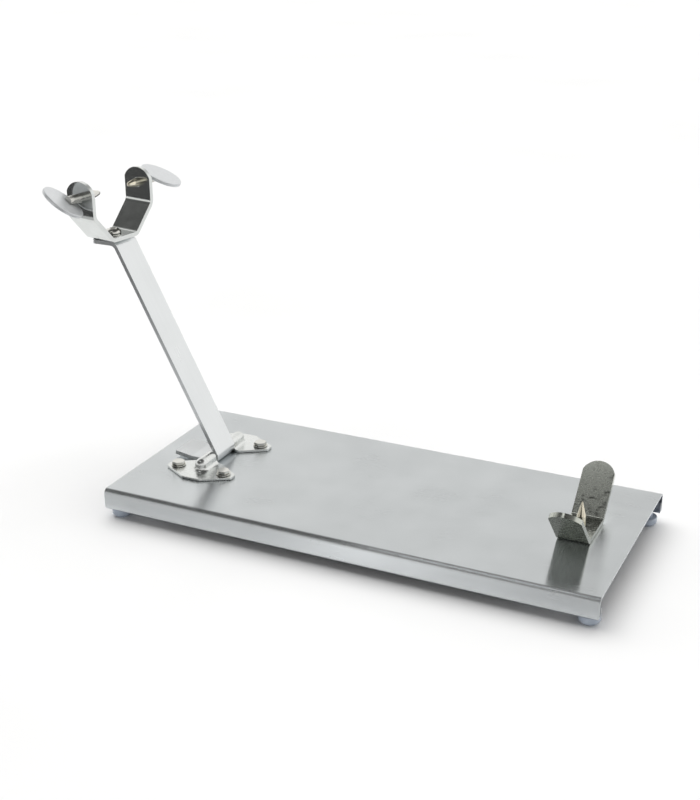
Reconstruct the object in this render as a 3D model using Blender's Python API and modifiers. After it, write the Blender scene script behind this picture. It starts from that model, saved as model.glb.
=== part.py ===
"""Ham holder stand: folded steel base, tilting arm with a swivelling two-screw head, spiked cradle.

Metres, +Z up. The origin is on the floor, under the centre of the whole stand.
+X runs along the base towards the cradle, and +Y runs towards its back edge.
"""
from math import acos, atan2, cos, pi, radians, sin, tan

import bmesh
import bpy
from mathutils import Matrix, Vector

# GAP is left between touching pieces, and SPARE is how far a cutter runs past what it cuts.
GAP = 0.0003
SPARE = 0.01

# Base: one sheet, folded down at the front and the back, with hemmed flanges.
BASE_LENGTH = 0.440
BASE_WIDTH = 0.200
BASE_CENTRE_X = 0.0355
SHEET = 0.0015
FLANGE_HEIGHT = 0.019
FLANGE_BEND_RADIUS = 0.0045
HEM_HEIGHT = 0.0105
HEM_DEPTH = 0.005
HEM_FLAT = 0.00004

# Feet: rubber bumpers on studs under the deck.
FOOT_DROP = 0.008
FOOT_RADIUS = 0.0088
FOOT_NECK_RADIUS = 0.005
FOOT_INSET_X = 0.010
FOOT_INSET_Y = 0.011
FOOT_EDGE = 0.0006
FOOT_CHAMFER = 0.0012
FOOT_FLOOR = 0.004
STUD_RADIUS = 0.0025

DECK_TOP = FOOT_DROP + FLANGE_HEIGHT
DECK_UNDER = DECK_TOP - SHEET

# Arm: one flat bar, folded back on itself round the pivot rod, with a level tab on top.
ARM_WIDTH = 0.030
ARM_THICKNESS = 0.0035
ARM_LEAN = radians(62.7)
PIVOT_X = BASE_CENTRE_X - 0.162
PIVOT_RADIUS = 0.003
PIVOT_HALF_LENGTH = 0.0325
ARM_BEND_INSIDE = PIVOT_RADIUS + GAP
TAIL_HEEL = 0.021
TAIL_REACH = 0.038
TAIL_RISE = radians(8)
TAIL_BEND_RADIUS = 0.010
TAB_TOP = DECK_TOP + 0.1952
TAB_REACH = 0.1145
TAB_BEND_RADIUS = 0.007
TAB_CORNER_RADIUS = 0.004
TAIL_CLEARANCE = 0.0004
PIVOT_Z = DECK_TOP + TAIL_CLEARANCE + ARM_THICKNESS + ARM_BEND_INSIDE

# Hinge clips: two diamond plates with a pressed hump over the pivot rod.
CLIP_THICKNESS = 0.0022
CLIP_CENTRE_Y = 0.034
CLIP_HALF_LENGTH = 0.033
CLIP_HALF_DEPTH = 0.0185
CLIP_END_HALF_WIDTH = 0.004
CLIP_CREST_HALF_WIDTH = 0.0085
CLIP_CORNER_RADIUS = 0.003
CLIP_BOLT_SPACING = 0.046
HUMP_CAVITY = 0.0034
HUMP_RADIUS = 0.0056
HUMP_FILLET = 0.0035
HUMP_SINK = 0.0001

# Head: a forked strip that turns on the bolt through the tab.
HEAD_X = BASE_CENTRE_X - 0.263
HEAD_TURN = radians(-9)
YOKE_WIDTH = 0.0295
YOKE_THICKNESS = 0.0036
YOKE_FLAT_HALF = 0.015
YOKE_EAR_Y = 0.036
YOKE_FLARE_RISE = 0.0235
YOKE_SCREW_HEIGHT = 0.0428
YOKE_EAR_RISE = 0.0138
YOKE_EAR_RADIUS = 0.0165
YOKE_BEND_RADIUS = 0.005

# Clamp screws: pointed rods, each cut on the slant and welded to the face of a coin-shaped grip.
ROD_RADIUS = 0.004
ROD_REACH = 0.038
POINT_LENGTH = 0.012
POINT_SHOULDER = 0.002
POINT_NOSE_RADIUS = 0.0021
GRIP_RADIUS = 0.0195
GRIP_THICKNESS = 0.003
GRIP_FROM_TIP = 0.044
FRONT_SCREW = {"side": -1, "tip_out": 0.0135, "slant": radians(21), "roll": radians(32)}
BACK_SCREW = {"side": 1, "tip_out": 0.022, "slant": radians(12), "roll": radians(-22)}

# Cradle: a strip bent to a wide V, held down by the pointed spike.
CRADLE_X = BASE_CENTRE_X + 0.1755
CRADLE_WIDTH = 0.027
CRADLE_THICKNESS = 0.004
CRADLE_FLAT_HALF = 0.020
CRADLE_ARM = 0.0505
CRADLE_ANGLE = radians(47)
CRADLE_BEND_RADIUS = 0.005
CRADLE_TIP_RADIUS = 0.0145
CRADLE_TIP_CUT = 0.02
SPIKE_RADIUS = 0.0038
SPIKE_HEIGHT = 0.022
SPIKE_POINT = 0.0125

# Fasteners: thread radius, width across the flats, head height, nut height, washer radius and thickness.
M6 = {"thread": 0.003, "flats": 0.010, "head": 0.0024, "nut": 0.005, "washer": 0.0065, "sheet": 0.0012}
THREAD_PROUD = 0.0015

# Head bolt: a domed socket screw, threaded into the tab.
BOLT_RADIUS = 0.004
BOLT_HEAD_RADIUS = 0.007
BOLT_HEAD_HEIGHT = 0.0044
BOLT_HEAD_EDGE = 0.0008
BOLT_SOCKET_FLATS = 0.005
BOLT_SOCKET_DEPTH = 0.0026
BOLT_PROUD = 0.004

# Extruded outlines: the axis named is the one along the depth, and the outline lies across it.
ACROSS = {
    "X": Matrix(((0, 0, 1), (1, 0, 0), (0, 1, 0))),
    "Y": Matrix(((1, 0, 0), (0, 0, -1), (0, 1, 0))),
    "Z": Matrix.Identity(3),
}


def four_corners(centre_x, reach_x, reach_y):
    """Named spots at the corners of a rectangle centred on the base's middle line."""
    return {
        f"{row}_{end}": (centre_x + way_x * reach_x, way_y * reach_y)
        for row, way_y in (("front", -1), ("back", 1))
        for end, way_x in (("left", -1), ("right", 1))
    }


CLIP_BOLTS = four_corners(PIVOT_X, CLIP_BOLT_SPACING / 2, CLIP_CENTRE_Y)
FEET = four_corners(BASE_CENTRE_X, BASE_LENGTH / 2 - FOOT_INSET_X, BASE_WIDTH / 2 - FOOT_INSET_Y)


def clear_scene():
    for item in list(bpy.data.objects):
        bpy.data.objects.remove(item, do_unlink=True)


def make_collection(name):
    group = bpy.data.collections.new(name)
    bpy.context.scene.collection.children.link(group)
    return group


def make_material(name, colour, roughness, metallic):
    material = bpy.data.materials.new(name)
    material.use_nodes = True
    shader = material.node_tree.nodes["Principled BSDF"]
    shader.inputs["Base Color"].default_value = (*colour, 1.0)
    shader.inputs["Roughness"].default_value = roughness
    shader.inputs["Metallic"].default_value = metallic
    return material


def fillet(points, radii, closed=False):
    """Round the corners of a 2D line: one radius for each point, 0 for a sharp one."""
    count = len(points)
    line = []
    for index, (x, y) in enumerate(points):
        corner = Vector((x, y))
        radius = radii[index]
        is_end = not closed and index in (0, count - 1)
        if is_end or radius == 0:
            line.append(corner)
            continue
        before = (Vector(points[index - 1]) - corner).normalized()
        after = (Vector(points[(index + 1) % count]) - corner).normalized()
        half_angle = before.angle(after) / 2
        start = corner + before * radius / tan(half_angle)
        end = corner + after * radius / tan(half_angle)
        centre = corner + (before + after).normalized() * radius / sin(half_angle)
        turn = pi - 2 * half_angle
        steps = max(2, round(turn / radians(15)))
        first = atan2(start.y - centre.y, start.x - centre.x)
        last = atan2(end.y - centre.y, end.x - centre.x)
        sweep = (last - first + pi) % (2 * pi) - pi
        for step in range(steps + 1):
            angle = first + sweep * step / steps
            line.append(centre + radius * Vector((cos(angle), sin(angle))))
    return line


def strip(points, radii, thickness):
    """The closed outline of a bent strip, from the line along the middle of its thickness."""
    line = fillet(points, radii)
    left, right = [], []
    for index, point in enumerate(line):
        back = line[max(index - 1, 0)]
        ahead = line[min(index + 1, len(line) - 1)]
        into = (point - back).normalized() if index > 0 else (ahead - point).normalized()
        out = (ahead - point).normalized() if index < len(line) - 1 else into
        along = (into + out).normalized()
        reach = thickness / 2 / along.dot(into)
        side = Vector((-along.y, along.x)) * reach
        left.append(point + side)
        right.append(point - side)
    return left + right[::-1]


def arc(centre, radius, start, end, steps):
    """Points on a circle, from one angle to another."""
    angles = [start + (end - start) * step / steps for step in range(steps + 1)]
    return [(centre[0] + radius * cos(a), centre[1] + radius * sin(a)) for a in angles]


def mesh_object(name, mesh, group, matrix, parent):
    item = bpy.data.objects.new(name, mesh)
    group.objects.link(item)
    item.parent = parent
    item.matrix_local = matrix
    return item


def outline_solid(name, points, depth, across, place, group, parent=None):
    """A flat outline extruded to a depth, centred on its place, along the named axis."""
    curve = bpy.data.curves.new(name, "CURVE")
    curve.dimensions = "2D"
    curve.fill_mode = "BOTH"
    curve.extrude = depth / 2
    spline = curve.splines.new("POLY")
    spline.points.add(len(points) - 1)
    for knot, (x, y) in zip(spline.points, points):
        knot.co = (x, y, 0, 1)
    spline.use_cyclic_u = True
    flat = bpy.data.objects.new(name, curve)
    group.objects.link(flat)
    bpy.context.view_layer.update()
    graph = bpy.context.evaluated_depsgraph_get()
    mesh = bpy.data.meshes.new_from_object(flat.evaluated_get(graph))
    bpy.data.objects.remove(flat)
    bpy.data.curves.remove(curve)
    shape = bmesh.new()
    shape.from_mesh(mesh)
    bmesh.ops.remove_doubles(shape, verts=shape.verts, dist=1e-6)
    bmesh.ops.recalc_face_normals(shape, faces=shape.faces)
    shape.to_mesh(mesh)
    shape.free()
    mesh.name = name
    matrix = Matrix.Translation(place) @ ACROSS[across].to_4x4()
    return mesh_object(name, mesh, group, matrix, parent)


def turned(name, profile, place, group, parent=None, closed=False, sides=32):
    """A solid of revolution about a vertical line: the profile is a list of radius and height."""
    mesh = bpy.data.meshes.new(name)
    count = len(profile)
    edges = [(i, i + 1) for i in range(count - 1)]
    if closed:
        edges.append((count - 1, 0))
    mesh.from_pydata([(radius, 0, height) for radius, height in profile], edges, [])
    item = mesh_object(name, mesh, group, Matrix.Translation(place), parent)
    screw = item.modifiers.new("turn", "SCREW")
    screw.steps = sides
    screw.render_steps = sides
    screw.use_merge_vertices = True
    screw.merge_threshold = 0.00001
    return item


def prism(name, sides, radius, low, high, place, group, parent=None):
    """An upright prism or cylinder between two heights above its place."""
    mesh = bpy.data.meshes.new(name)
    shape = bmesh.new()
    bmesh.ops.create_cone(
        shape, cap_ends=True, segments=sides, radius1=radius, radius2=radius, depth=high - low
    )
    bmesh.ops.translate(shape, verts=shape.verts, vec=(0, 0, (low + high) / 2))
    shape.to_mesh(mesh)
    shape.free()
    return mesh_object(name, mesh, group, Matrix.Translation(place), parent)


def combine(item, tool, operation):
    """Cut, join or intersect one object with another, which then only serves as the tool."""
    step = item.modifiers.new(tool.name, "BOOLEAN")
    step.operation = operation
    step.object = tool
    step.solver = "EXACT"
    tool.hide_render = True
    tool.display_type = "WIRE"


def baked(item):
    """The mesh of an object with its modifiers applied; the object and its tools are removed."""
    bpy.context.view_layer.update()
    graph = bpy.context.evaluated_depsgraph_get()
    mesh = bpy.data.meshes.new_from_object(item.evaluated_get(graph))
    for step in item.modifiers:
        if step.type == "BOOLEAN":
            bpy.data.objects.remove(step.object)
    bpy.data.objects.remove(item)
    return mesh


def copies(name, mesh, places, group, parent=None):
    """One object for each named place, all sharing a mesh."""
    mesh.name = name
    return [
        mesh_object(f"{name}_{word}", mesh, group, Matrix.Translation(place), parent)
        for word, place in places.items()
    ]


def single(name, mesh, place, group, parent=None):
    """One object at a place."""
    mesh.name = name
    return mesh_object(name, mesh, group, Matrix.Translation(place), parent)


def drill(item, name, low, high, spots, tools):
    """Cut an upright clearance hole for an M6 thread through an object at each spot."""
    for x, y in spots:
        hole = prism(name, 24, M6["thread"] + GAP, low, high, (x, y, 0), tools)
        combine(item, hole, "DIFFERENCE")


def smooth(item, material):
    """Shade round sides smooth, keep edges sharp, and give the object its material."""
    item.data.shade_smooth()
    item.data.set_sharp_from_angle(angle=radians(32))
    item.data.materials.clear()
    item.data.materials.append(material)


def empty_at(name, matrix, group, parent=None):
    item = bpy.data.objects.new(name, None)
    item.empty_display_size = 0.01
    group.objects.link(item)
    item.parent = parent
    item.matrix_local = matrix
    return item


def bolt_mesh(size, length, tools):
    """A hexagon bolt with its head standing on height 0 and its shank below."""
    corner = size["flats"] / 2 / cos(pi / 6)
    bolt = prism("bolt_head", 6, corner, 0, size["head"], (0, 0, 0), tools)
    shank = prism("bolt_shank", 24, size["thread"], -length, size["head"] / 2, (0, 0, 0), tools)
    combine(bolt, shank, "UNION")
    return baked(bolt)


def nut_mesh(size, tools):
    """A hexagon nut that hangs below height 0."""
    corner = size["flats"] / 2 / cos(pi / 6)
    nut = prism("nut_body", 6, corner, -size["nut"], 0, (0, 0, 0), tools)
    hole = prism("nut_hole", 24, size["thread"] + GAP, -SPARE, SPARE, (0, 0, 0), tools)
    combine(nut, hole, "DIFFERENCE")
    return baked(nut)


def washer_mesh(size, tools):
    """A flat washer that stands on height 0."""
    inner = size["thread"] + GAP
    profile = [(size["washer"], size["sheet"]), (size["washer"], 0), (inner, 0), (inner, size["sheet"])]
    return baked(turned("washer_ring", profile, (0, 0, 0), tools, closed=True))


def at_height(spots, z):
    return {word: (x, y, z) for word, (x, y) in spots.items()}


def make_base(parts, tools):
    """Folded deck: level top, flanges at the front and the back, and hems turned up inside them."""
    half = BASE_WIDTH / 2 - SHEET / 2
    top = DECK_TOP - SHEET / 2
    low = FOOT_DROP + SHEET / 2
    inner = BASE_WIDTH / 2 - HEM_DEPTH + SHEET / 2
    bend = FLANGE_BEND_RADIUS - SHEET / 2
    hem = (HEM_DEPTH - SHEET) / 2 - HEM_FLAT
    path = [(-inner, FOOT_DROP + HEM_HEIGHT), (-inner, low), (-half, low), (-half, top)]
    path += [(-y, z) for y, z in reversed(path)]
    radii = [0, hem, hem, bend, bend, hem, hem, 0]
    outline = strip(path, radii, SHEET)
    centre = (BASE_CENTRE_X, 0, 0)
    base = outline_solid("base_plate", outline, BASE_LENGTH, "X", centre, parts)

    spots = [*CLIP_BOLTS.values(), (CRADLE_X, 0)]
    drill(base, "deck_hole", DECK_UNDER - SPARE, DECK_TOP + SPARE, spots, tools)
    return base


def make_feet(parts):
    """Four domed bumpers with a neck up to the deck, each on a stud."""
    bore = STUD_RADIUS + GAP
    neck_top = DECK_UNDER - GAP
    brim = FOOT_DROP - GAP
    profile = [
        (0, FOOT_FLOOR),
        (bore, FOOT_FLOOR),
        (bore, neck_top),
        (FOOT_NECK_RADIUS, neck_top),
        (FOOT_NECK_RADIUS, brim),
        (FOOT_RADIUS - FOOT_EDGE, brim),
        (FOOT_RADIUS, brim - FOOT_EDGE),
        (FOOT_RADIUS - FOOT_CHAMFER, FOOT_CHAMFER),
        (FOOT_RADIUS - 2 * FOOT_CHAMFER, 0),
        (0, 0),
    ]
    return [turned(f"foot_{word}", profile, (x, y, 0), parts) for word, (x, y) in FEET.items()]


def make_studs(parts, tools):
    """Studs welded under the deck, one in each foot."""
    low = FOOT_FLOOR + GAP
    high = DECK_UNDER - GAP
    stud = baked(prism("stud", 20, STUD_RADIUS, low, high, (0, 0, 0), tools))
    return copies("stud", stud, at_height(FEET, 0), parts)


def hump_profile():
    """Half the section of a clip's hump: radius and height, from its crest down to the plate."""
    axis = PIVOT_Z
    plate_top = DECK_TOP + GAP + CLIP_THICKNESS
    crown = arc((0, axis), HUMP_RADIUS, pi / 2, 0, 6)
    foot_centre = (HUMP_RADIUS + HUMP_FILLET, plate_top + HUMP_FILLET - HUMP_SINK)
    flare = arc(foot_centre, HUMP_FILLET, pi, 1.5 * pi, 4)
    low = DECK_TOP + 2 * GAP
    return crown + flare + [(HUMP_RADIUS + HUMP_FILLET, low), (0, low)]


def cavity_profile():
    """Half the section of the space for the pivot rod under a hump."""
    low = DECK_TOP - SPARE
    return arc((0, PIVOT_Z), HUMP_CAVITY, pi / 2, 0, 6) + [(HUMP_CAVITY, low), (0, low)]


def make_hump(name, profile, start, side, tools):
    """A hump-shaped tool: a straight run out from the arm and a domed end."""
    straight = PIVOT_HALF_LENGTH + GAP
    outline = profile[:-1] + [(-x, z) for x, z in reversed(profile[1:-1])]
    middle = side * (start + straight) / 2
    depth = straight - start
    run = outline_solid(f"{name}_run", outline, depth, "Y", (PIVOT_X, middle, 0), tools)
    dome = turned(f"{name}_dome", profile, (PIVOT_X, side * straight, 0), tools, sides=28)
    return run, dome


def make_clip(word, side, parts, tools):
    """A diamond plate with a pressed hump that holds one end of the pivot rod."""
    corners = [
        (CLIP_HALF_LENGTH, CLIP_END_HALF_WIDTH),
        (CLIP_CREST_HALF_WIDTH, CLIP_HALF_DEPTH),
        (-CLIP_CREST_HALF_WIDTH, CLIP_HALF_DEPTH),
        (-CLIP_HALF_LENGTH, CLIP_END_HALF_WIDTH),
        (-CLIP_HALF_LENGTH, -CLIP_END_HALF_WIDTH),
        (-CLIP_CREST_HALF_WIDTH, -CLIP_HALF_DEPTH),
        (CLIP_CREST_HALF_WIDTH, -CLIP_HALF_DEPTH),
        (CLIP_HALF_LENGTH, -CLIP_END_HALF_WIDTH),
    ]
    outline = fillet(corners, [CLIP_CORNER_RADIUS] * len(corners), closed=True)
    place = (PIVOT_X, side * CLIP_CENTRE_Y, DECK_TOP + GAP + CLIP_THICKNESS / 2)
    clip = outline_solid(f"hinge_clip_{word}", outline, CLIP_THICKNESS, "Z", place, parts)
    inner = CLIP_CENTRE_Y - CLIP_HALF_DEPTH
    for tool in make_hump(f"hump_{word}", hump_profile(), inner, side, tools):
        combine(clip, tool, "UNION")
    for tool in make_hump(f"cavity_{word}", cavity_profile(), inner - SPARE, side, tools):
        combine(clip, tool, "DIFFERENCE")
    spots = [spot for spot in CLIP_BOLTS.values() if spot[1] * side > 0]
    drill(clip, "clip_hole", DECK_TOP - SPARE, DECK_TOP + SPARE, spots, tools)
    return clip


def make_hinge_fasteners(parts, tools):
    """Bolts, washers and nuts that hold both clips to the deck."""
    clip_top = DECK_TOP + GAP + CLIP_THICKNESS
    head = clip_top + GAP + M6["sheet"] + GAP
    under = DECK_UNDER - GAP
    nut_top = under - M6["sheet"] - GAP
    length = head - nut_top + M6["nut"] + THREAD_PROUD
    bolt = bolt_mesh(M6, length, tools)
    washer = washer_mesh(M6, tools)
    nut = nut_mesh(M6, tools)
    kinds = (
        ("hinge_bolt", bolt, head),
        ("hinge_washer", washer, clip_top + GAP),
        ("hinge_under_washer", washer, under - M6["sheet"]),
        ("hinge_nut", nut, nut_top),
    )
    return [item for name, mesh, z in kinds for item in copies(name, mesh, at_height(CLIP_BOLTS, z), parts)]


def make_arm(pivot, parts, tools):
    """Flat bar: tail on the deck, fold round the pivot rod, leaning arm and level tab."""
    middle = ARM_BEND_INSIDE + ARM_THICKNESS / 2
    heel_z = -middle
    fold_x = middle * tan((pi - ARM_LEAN) / 2)
    tab_z = TAB_TOP - ARM_THICKNESS / 2 - PIVOT_Z
    tab_x = fold_x - (tab_z - heel_z) / tan(ARM_LEAN)
    tail_z = heel_z + (TAIL_REACH - TAIL_HEEL) * tan(TAIL_RISE)
    path = [
        (-TAIL_REACH, tail_z),
        (-TAIL_HEEL, heel_z),
        (fold_x, heel_z),
        (tab_x, tab_z),
        (-TAB_REACH, tab_z),
    ]
    radii = [0, TAIL_BEND_RADIUS, middle, TAB_BEND_RADIUS, 0]
    outline = strip(path, radii, ARM_THICKNESS)
    arm = outline_solid("arm", outline, ARM_WIDTH, "Y", (0, 0, 0), parts, pivot)

    half = ARM_WIDTH / 2
    plan = [(-TAB_REACH, -half), (TAIL_REACH, -half), (TAIL_REACH, half), (-TAB_REACH, half)]
    rounded = fillet(plan, [TAB_CORNER_RADIUS, 0, 0, TAB_CORNER_RADIUS], closed=True)
    keep = outline_solid("tab_corners", rounded, 3 * TAB_TOP, "Z", (0, 0, 0), tools, pivot)
    combine(arm, keep, "INTERSECT")

    place = (HEAD_X - PIVOT_X, 0, tab_z)
    hole = prism("tab_hole", 24, BOLT_RADIUS + GAP, -SPARE, SPARE, place, tools, pivot)
    combine(arm, hole, "DIFFERENCE")

    reach = PIVOT_HALF_LENGTH
    rod = prism("pivot_rod", 32, PIVOT_RADIUS, -reach, reach, (0, 0, 0), parts, pivot)
    rod.matrix_local = Matrix.Rotation(pi / 2, 4, "X")
    return arm, rod


def make_head_bolt(pivot, parts, tools):
    """Domed socket screw that the yoke turns on."""
    seat = TAB_TOP - PIVOT_Z + YOKE_THICKNESS + 2 * GAP
    end = TAB_TOP - PIVOT_Z - ARM_THICKNESS - BOLT_PROUD
    edge = seat + BOLT_HEAD_EDGE
    crown = seat + BOLT_HEAD_HEIGHT
    dome = [
        (BOLT_HEAD_RADIUS * sin(angle), edge + (crown - edge) * cos(angle))
        for angle in (radians(step) for step in range(0, 91, 15))
    ]
    profile = [*dome, (BOLT_HEAD_RADIUS, seat), (BOLT_RADIUS, seat), (BOLT_RADIUS, end), (0, end)]
    x = HEAD_X - PIVOT_X
    bolt = turned("head_bolt", profile, (x, 0, 0), parts, pivot, sides=36)
    corner = BOLT_SOCKET_FLATS / 2 / cos(pi / 6)
    floor = crown - BOLT_SOCKET_DEPTH
    socket = prism("bolt_socket", 6, corner, floor, crown + SPARE, (x, 0, 0), tools, pivot)
    combine(bolt, socket, "DIFFERENCE")
    return bolt


def make_yoke(head, parts, tools):
    """Forked strip: level seat, two flared sides and two upright ears with a round top."""
    seat = GAP + YOKE_THICKNESS / 2
    knee = seat + YOKE_FLARE_RISE
    top = YOKE_SCREW_HEIGHT + YOKE_EAR_RISE + GAP
    side = [(YOKE_FLAT_HALF, seat), (YOKE_EAR_Y, knee), (YOKE_EAR_Y, top)]
    path = [(-y, z) for y, z in reversed(side)] + side
    bend = YOKE_BEND_RADIUS
    outline = strip(path, [0, bend, bend, bend, bend, 0], YOKE_THICKNESS)
    yoke = outline_solid("yoke", outline, YOKE_WIDTH, "X", (0, 0, 0), parts, head)

    half = YOKE_WIDTH / 2
    centre = (0, YOKE_SCREW_HEIGHT + YOKE_EAR_RISE - YOKE_EAR_RADIUS)
    corner = acos((half + GAP) / YOKE_EAR_RADIUS)
    shape = arc(centre, YOKE_EAR_RADIUS, corner, pi - corner, 16)
    edge = half + SPARE
    shape += [(-edge, centre[1]), (-edge, -SPARE), (edge, -SPARE), (edge, centre[1])]
    keep = outline_solid("ear_tops", shape, 3 * YOKE_EAR_Y, "Y", (0, 0, 0), tools, head)
    combine(yoke, keep, "INTERSECT")

    seat_hole = prism("seat_hole", 24, BOLT_RADIUS + GAP, -SPARE, SPARE, (0, 0, 0), tools, head)
    combine(yoke, seat_hole, "DIFFERENCE")
    reach = 2 * YOKE_EAR_Y
    screw_hole = prism("screw_hole", 24, ROD_RADIUS + GAP, -reach, reach, (0, 0, 0), tools, head)
    turn = Matrix.Rotation(pi / 2, 4, "X")
    screw_hole.matrix_local = Matrix.Translation((0, 0, YOKE_SCREW_HEIGHT)) @ turn
    combine(yoke, screw_hole, "DIFFERENCE")
    return yoke


def make_clamp_screw(word, setting, head, parts, tools):
    """A pointed screw through one ear. Its own +Z points inwards, from the grip to the tip."""
    turn = Matrix.Rotation(setting["side"] * pi / 2, 4, "X")
    frame = Matrix.Translation((0, 0, YOKE_SCREW_HEIGHT)) @ turn
    axis = empty_at(f"{word}_screw_axis", frame, parts, head)
    tip = -setting["tip_out"]
    nose = POINT_NOSE_RADIUS
    shoulder = tip - POINT_LENGTH
    joint = shoulder - POINT_SHOULDER
    profile = [(x, tip - nose + z) for x, z in arc((0, 0), nose, pi / 2, radians(15), 4)]
    profile += [(ROD_RADIUS, shoulder), (ROD_RADIUS, joint), (0, joint)]
    point = turned(f"{word}_clamp_point", profile, (0, 0, 0), parts, axis)
    end = tip - ROD_REACH
    rod = prism(f"{word}_clamp_rod", 32, ROD_RADIUS, end, joint - GAP, (0, 0, 0), parts, axis)

    spin = Matrix.Rotation(setting["roll"], 4, "Z")
    lean = Matrix.Rotation(pi / 2 - setting["slant"], 4, "X")
    facing = Matrix.Translation((0, 0, tip - GRIP_FROM_TIP)) @ spin @ lean
    half = GRIP_THICKNESS / 2
    grip = prism(f"{word}_clamp_grip", 48, GRIP_RADIUS, -half, half, (0, 0, 0), parts, axis)
    grip.matrix_local = facing
    slant = prism(f"{word}_slant", 48, GRIP_RADIUS + GAP, -GRIP_RADIUS, half + GAP, (0, 0, 0), tools, axis)
    slant.matrix_local = facing
    combine(rod, slant, "DIFFERENCE")
    return point, rod, grip


def make_cradle(parts, tools):
    """Strip bent to a wide V with a level seat and round tips."""
    seat = DECK_TOP + GAP + CRADLE_THICKNESS / 2
    tip_y = CRADLE_FLAT_HALF + CRADLE_ARM * cos(CRADLE_ANGLE)
    tip_z = seat + CRADLE_ARM * sin(CRADLE_ANGLE)
    side = [(CRADLE_FLAT_HALF, seat), (tip_y, tip_z)]
    path = [(-y, z) for y, z in reversed(side)] + side
    bend = CRADLE_BEND_RADIUS
    outline = strip(path, [0, bend, bend, 0], CRADLE_THICKNESS)
    cradle = outline_solid("cradle", outline, CRADLE_WIDTH, "X", (CRADLE_X, 0, 0), parts)

    half = CRADLE_WIDTH / 2
    start = CRADLE_ARM - CRADLE_TIP_RADIUS
    shape = arc((0, start), CRADLE_TIP_RADIUS, 0, pi, 20)
    edge = half + SPARE
    end = CRADLE_ARM + SPARE
    shape += [(-edge, start), (-edge, end), (edge, end), (edge, start)]
    for word, way in (("front", -1), ("back", 1)):
        lean = pi / 2 - way * (pi / 2 - CRADLE_ANGLE)
        trim = outline_solid(f"cradle_tip_{word}", shape, CRADLE_TIP_CUT, "Z", (0, 0, 0), tools)
        fold = Matrix.Translation((CRADLE_X, way * CRADLE_FLAT_HALF, seat))
        trim.matrix_local = fold @ Matrix.Rotation(lean, 4, "X")
        combine(cradle, trim, "DIFFERENCE")
    drill(cradle, "cradle_hole", DECK_TOP - SPARE, DECK_TOP + SPARE, [(CRADLE_X, 0)], tools)
    return cradle


def make_spike(parts, tools):
    """Pointed spike that clamps the cradle to the deck, with its washer and nut below."""
    seat = DECK_TOP + GAP + CRADLE_THICKNESS + GAP
    under = DECK_UNDER - GAP
    nut_top = under - M6["sheet"] - GAP
    end = nut_top - M6["nut"] - THREAD_PROUD
    thread = M6["thread"]
    profile = [
        (0, seat + SPIKE_HEIGHT),
        (SPIKE_RADIUS, seat + SPIKE_HEIGHT - SPIKE_POINT),
        (SPIKE_RADIUS, seat),
        (thread, seat),
        (thread, end),
        (0, end),
    ]
    return [
        turned("cradle_spike", profile, (CRADLE_X, 0, 0), parts),
        single("cradle_washer", washer_mesh(M6, tools), (CRADLE_X, 0, under - M6["sheet"]), parts),
        single("cradle_nut", nut_mesh(M6, tools), (CRADLE_X, 0, nut_top), parts),
    ]


def main():
    clear_scene()
    parts = make_collection("ham_holder_stand")
    tools = make_collection("cutters")
    brushed = make_material("brushed_steel", (0.62, 0.63, 0.63), 0.32, 1.0)
    polished = make_material("polished_steel", (0.70, 0.70, 0.69), 0.12, 1.0)
    bright = make_material("fastener_steel", (0.66, 0.66, 0.64), 0.20, 1.0)
    turned_steel = make_material("turned_steel", (0.70, 0.67, 0.60), 0.20, 1.0)
    rubber = make_material("foot_rubber", (0.30, 0.34, 0.40), 0.28, 0.0)

    pivot = empty_at("arm_pivot", Matrix.Translation((PIVOT_X, 0, PIVOT_Z)), parts)
    head_place = Matrix.Translation((HEAD_X - PIVOT_X, 0, TAB_TOP - PIVOT_Z))
    head = empty_at("head_axis", head_place @ Matrix.Rotation(HEAD_TURN, 4, "Z"), parts, pivot)

    base = make_base(parts, tools)
    feet = make_feet(parts)
    clips = [make_clip("front", -1, parts, tools), make_clip("back", 1, parts, tools)]
    arm, rod = make_arm(pivot, parts, tools)
    yoke = make_yoke(head, parts, tools)
    cradle = make_cradle(parts, tools)
    spike, *spike_fasteners = make_spike(parts, tools)
    fasteners = [rod, make_head_bolt(pivot, parts, tools), *spike_fasteners]
    fasteners += [*make_hinge_fasteners(parts, tools), *make_studs(parts, tools)]
    screws = [
        make_clamp_screw("front", FRONT_SCREW, head, parts, tools),
        make_clamp_screw("back", BACK_SCREW, head, parts, tools),
    ]
    pointed = [spike, *(item for point, shank, grip in screws for item in (point, shank))]
    grips = [grip for point, shank, grip in screws]

    finishes = (
        ([base, arm], brushed),
        ([*clips, yoke, cradle, *grips], polished),
        (fasteners, bright),
        (pointed, turned_steel),
        (feet, rubber),
    )
    for items, material in finishes:
        for item in items:
            smooth(item, material)
    bpy.context.view_layer.update()


main()
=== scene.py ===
"""Looks of the ham holder stand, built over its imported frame. Metres, +Z up, +X towards the cradle."""
from math import acos, atan2, ceil, cos, pi, radians, sin, sqrt, tan

import bmesh
import bpy
from mathutils import Matrix, Vector


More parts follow.
